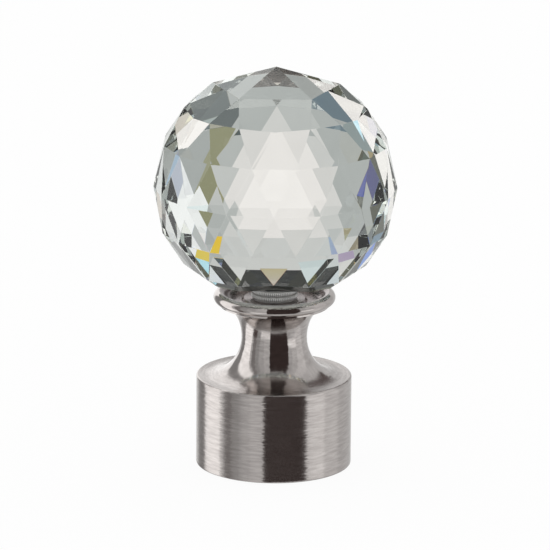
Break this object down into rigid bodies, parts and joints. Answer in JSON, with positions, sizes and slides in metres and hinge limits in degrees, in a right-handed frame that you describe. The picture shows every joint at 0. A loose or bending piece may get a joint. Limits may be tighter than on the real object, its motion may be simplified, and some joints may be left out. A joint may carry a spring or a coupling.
{
  "type": "curtain pole finial",
  "caption": "Faceted clear crystal ball finial on a turned satin nickel end cap, with a socket that a grub screw clamps on a round curtain pole.",
  "frame": {"origin": "middle of the socket's mouth, on the surface that the finial stands on", "axes": "+Z from the socket's mouth up through the ball, -Y the front, +Y the side with the grub screw"},
  "size_m": [0.05, 0.05, 0.0839],
  "materials": {
    "crystal": "polished, cut in flat facets",
    "satin_nickel": "satin, brushed around its axis",
    "bright_steel": "bright",
    "dark_steel": "blackened"
  },
  "bodies": {
    "root": {"crystal_ball": "crystal", "socket_body": "satin_nickel", "knurled_bush": "bright_steel", "threaded_stud": "bright_steel", "grub_screw": "dark_steel"}
  },
  "joints": []
}
